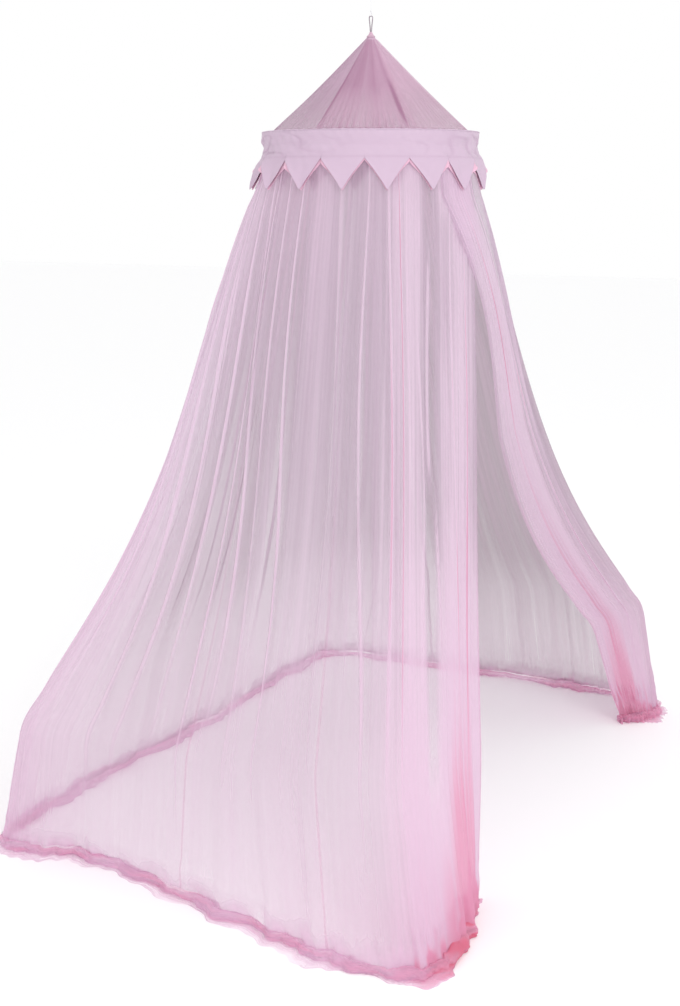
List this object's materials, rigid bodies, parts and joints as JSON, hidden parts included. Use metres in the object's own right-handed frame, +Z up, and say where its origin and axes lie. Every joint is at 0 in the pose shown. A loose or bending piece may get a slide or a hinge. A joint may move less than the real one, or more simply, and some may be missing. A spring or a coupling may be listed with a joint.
{
  "type": "bed crown canopy",
  "caption": "Hanging bed canopy of sheer net: a cone over a cloth-covered hoop with a pointed valance, and full-length net open on one side between two drawn-back leaves.",
  "frame": {"origin": "centre of the ceiling plate's flat top, on the ceiling face, straight above the middle of the hoop", "axes": "+Z up, +Y along the bed towards its head, +X towards the side with the way in"},
  "size_m": [1.6359, 2.522, 2.7],
  "materials": {
    "white_enamel": "white enamel, semi-gloss",
    "white_string": "twisted white cord",
    "loop_tape": "woven grey-pink tape",
    "crown_net": "fine pink net, doubled in places",
    "pink_cotton": "pale pink woven cotton, matt",
    "pink_lining": "deeper pink woven lining, matt",
    "hoop_steel": "spring steel rod",
    "sleeve_metal": "plain metal joining sleeve",
    "pink_net": "sheer pink tulle net, one layer",
    "net_hem": "gathered and doubled pink net",
    "net_seam": "narrow doubled seam in the net"
  },
  "bodies": {
    "hook": {"ceiling_hook": "white_enamel"},
    "string": {"suspension_string": "white_string", "upper_string_knot": "white_string"},
    "string_end": {"lower_string_eye": "white_string"},
    "crown": {"hanging_loop": "loop_tape", "apex_cap": "crown_net", "crown_net": "crown_net", "crown_overlap_panel": "crown_net", "valance_top_ledge": "pink_cotton", "hoop_casing": "pink_cotton", "hoop_rod_right": "hoop_steel", "hoop_rod_head": "hoop_steel", "hoop_rod_left": "hoop_steel", "hoop_rod_foot": "hoop_steel", "hoop_sleeve_1": "sleeve_metal", "hoop_sleeve_2": "sleeve_metal", "hoop_sleeve_3": "sleeve_metal", "hoop_sleeve_4": "sleeve_metal", "valance_band": "pink_cotton", "valance_lining": "pink_lining", "foot_net_right": "pink_net", "foot_net_centre": "pink_net", "foot_corner_net": "pink_net", "left_side_net": "pink_net", "head_corner_net": "pink_net", "head_net": "pink_net", "foot_seam_right": "net_seam", "foot_seam_left": "net_seam", "left_side_seam": "net_seam", "left_head_seam": "net_seam", "head_seam": "net_seam", "foot_right_hem": "net_hem", "foot_centre_hem": "net_hem", "foot_corner_hem": "net_hem", "left_side_hem": "net_hem", "head_corner_hem": "net_hem", "head_hem": "net_hem"},
    "front_leaf": {"front_leaf_net": "pink_net", "front_leaf_edge": "net_hem", "front_leaf_hem": "net_hem"},
    "right_leaf": {"right_leaf_net": "pink_net", "right_leaf_edge": "net_hem", "right_leaf_hem": "net_hem"}
  },
  "joints": [
    {"name": "string_swing", "type": "hinge", "parent": "hook", "child": "string", "pos_m": [0, 0, -0.034], "axis": [0, 1, 0], "range_deg": [-5, 5]},
    {"name": "string_twist", "type": "hinge", "parent": "string", "child": "string_end", "pos_m": [0, 0, -0.1356], "axis": [0, 0, 1], "continuous": true},
    {"name": "crown_tilt", "type": "hinge", "parent": "string_end", "child": "crown", "pos_m": [0, 0, -0.1476], "axis": [1, 0, 0], "range_deg": [-5, 5]},
    {"name": "front_leaf_swing", "type": "hinge", "parent": "crown", "child": "front_leaf", "pos_m": [0.29272, -0.169, -0.527], "axis": [0, 0, 1], "range_deg": [0, 60]},
    {"name": "right_leaf_swing", "type": "hinge", "parent": "crown", "child": "right_leaf", "pos_m": [0.30633, 0.14285, -0.527], "axis": [0, 0, 1], "range_deg": [-60, 0]}
  ]
}
